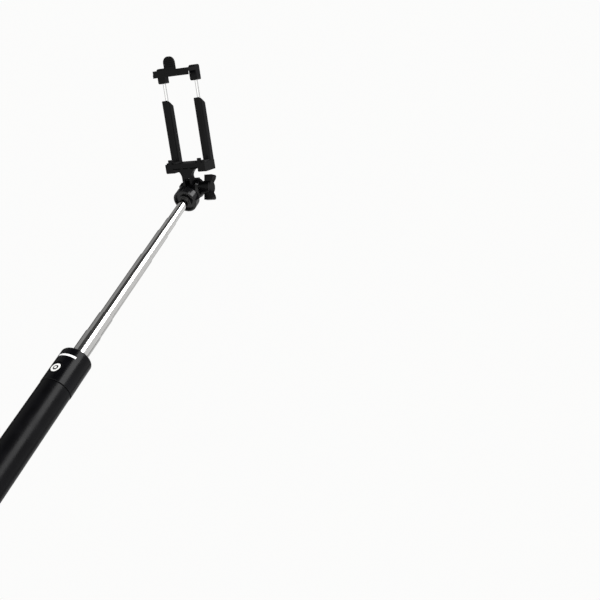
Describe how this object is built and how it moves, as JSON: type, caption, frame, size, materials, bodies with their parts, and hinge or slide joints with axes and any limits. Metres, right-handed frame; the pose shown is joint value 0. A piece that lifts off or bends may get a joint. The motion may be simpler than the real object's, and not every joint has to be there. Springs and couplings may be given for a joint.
{
  "type": "selfie stick",
  "caption": "Telescopic selfie stick with a shutter button on its handle, a round sliding rod and a hinged, sprung U-shaped phone clamp.",
  "frame": {"origin": "centre of the handle's butt end, at the mouth of the wrist-loop eye", "axes": "+Z along the stick from the butt end to the head, -Y towards the user, where the shutter button and the phone's screen face, +X along the clamp's hinge axis towards the wing knob"},
  "size_m": [0.043, 0.1244, 0.4243],
  "materials": {
    "grip_rubber": "soft-touch matt",
    "black_plastic": "fine satin",
    "white_print": "printed white",
    "steel_pin": "turned",
    "grey_plastic": "moulded",
    "tube_steel": "polished",
    "bright_chrome": "mirror",
    "cell_wrap": "shrink wrap",
    "lead_red": "wire insulation",
    "board_green": "solder mask",
    "chip_black": "moulded package",
    "switch_metal": "stamped",
    "led_lens": "clear",
    "gloss_black": "glossy",
    "white_plastic": "glossy white",
    "satin_black": "fine spark-eroded satin",
    "white_bush": "natural acetal",
    "pad_rubber": "matt",
    "spring_steel": "drawn wire"
  },
  "bodies": {
    "handle": {"grip_sleeve": "grip_rubber", "collar_shell": "black_plastic", "collar_mark": "white_print", "end_cap": "black_plastic", "lanyard_bar": "steel_pin", "chassis": "grey_plastic", "outer_tube": "tube_steel", "mouth_ring": "bright_chrome", "battery_cell": "cell_wrap", "battery_leads": "lead_red", "circuit_board": "board_green", "board_chips": "chip_black", "tact_switch": "switch_metal", "status_leds": "led_lens", "usb_socket": "switch_metal"},
    "port_cover": {"port_cover": "grip_rubber"},
    "button": {"button_cap": "gloss_black", "button_ring": "white_plastic", "button_dot": "white_plastic"},
    "section_1": {"tube_1": "tube_steel", "bush_1": "white_bush"},
    "section_2": {"tube_2": "tube_steel", "bush_2": "white_bush"},
    "section_3": {"tube_3": "tube_steel", "bush_3": "white_bush"},
    "section_4": {"tube_4": "tube_steel", "bush_4": "white_bush"},
    "section_5": {"tube_5": "tube_steel", "bush_5": "white_bush"},
    "section_6": {"tube_6": "tube_steel", "bush_6": "white_bush", "tip_plug": "grey_plastic"},
    "head": {"head_base": "gloss_black", "hinge_nut": "steel_pin"},
    "knob_washer": {"knob_washer": "steel_pin"},
    "knob": {"knob": "satin_black", "hinge_bolt": "steel_pin"},
    "clamp": {"bracket_frame": "satin_black", "arm_plug_left": "satin_black", "arm_plug_right": "satin_black", "guide_bush_left": "white_bush", "guide_bush_right": "white_bush", "lower_pad_left": "pad_rubber", "lower_pad_right": "pad_rubber", "jaw_spring_left": "spring_steel", "jaw_spring_right": "spring_steel"},
    "jaw": {"upper_jaw": "satin_black", "thumb_tab": "satin_black", "jaw_pad": "pad_rubber", "rod_left": "bright_chrome", "rod_right": "bright_chrome", "rod_stop_left": "steel_pin", "rod_stop_right": "steel_pin"}
  },
  "joints": [
    {"name": "button_press", "type": "slide", "parent": "handle", "child": "button", "axis": [0, 1, 0], "range_m": [0, 0.0004], "stiffness_N_per_m": 3000, "springref_m": -0.0002},
    {"name": "port_cover_open", "type": "hinge", "parent": "handle", "child": "port_cover", "pos_m": [0.0081, 0.00965, 0.1176], "axis": [-0.766, 0.6428, 0], "range_deg": [0, 100]},
    {"name": "section_1_slide", "type": "slide", "parent": "handle", "child": "section_1", "axis": [0, 0, 1], "range_m": [-0.0245, 0.0775]},
    {"name": "section_2_slide", "type": "slide", "parent": "section_1", "child": "section_2", "axis": [0, 0, 1], "range_m": [-0.02, 0.082]},
    {"name": "section_3_slide", "type": "slide", "parent": "section_2", "child": "section_3", "axis": [0, 0, 1], "range_m": [-0.072, 0.03]},
    {"name": "section_4_slide", "type": "slide", "parent": "section_3", "child": "section_4", "axis": [0, 0, 1], "range_m": [-0.032, 0.07]},
    {"name": "section_5_slide", "type": "slide", "parent": "section_4", "child": "section_5", "axis": [0, 0, 1], "range_m": [-0.017, 0.085]},
    {"name": "section_6_slide", "type": "slide", "parent": "section_5", "child": "section_6", "axis": [0, 0, 1], "range_m": [-0.0275, 0.0745]},
    {"name": "head_swivel", "type": "hinge", "parent": "section_6", "child": "head", "pos_m": [0, 0, 0.349], "axis": [0, 0, 1], "continuous": true},
    {"name": "knob_travel", "type": "slide", "parent": "head", "child": "knob_washer", "axis": [1, 0, 0], "range_m": [0, 0.0004]},
    {"name": "knob_turn", "type": "hinge", "parent": "knob_washer", "child": "knob", "pos_m": [0, 0, 0.37], "axis": [1, 0, 0], "range_deg": [0, 180]},
    {"name": "clamp_tilt", "type": "hinge", "parent": "head", "child": "clamp", "pos_m": [0, 0, 0.37], "axis": [1, 0, 0], "range_deg": [-155, 25]},
    {"name": "jaw_slide", "type": "slide", "parent": "clamp", "child": "jaw", "axis": [0, -0.9063, 0.4226], "range_m": [-0.0145, 0.012], "deforming": ["jaw_spring_left", "jaw_spring_right"]}
  ],
  "couplings": [
    {"joint": "knob_turn", "follows": "knob_travel", "rad_per_m": 7854}
  ]
}
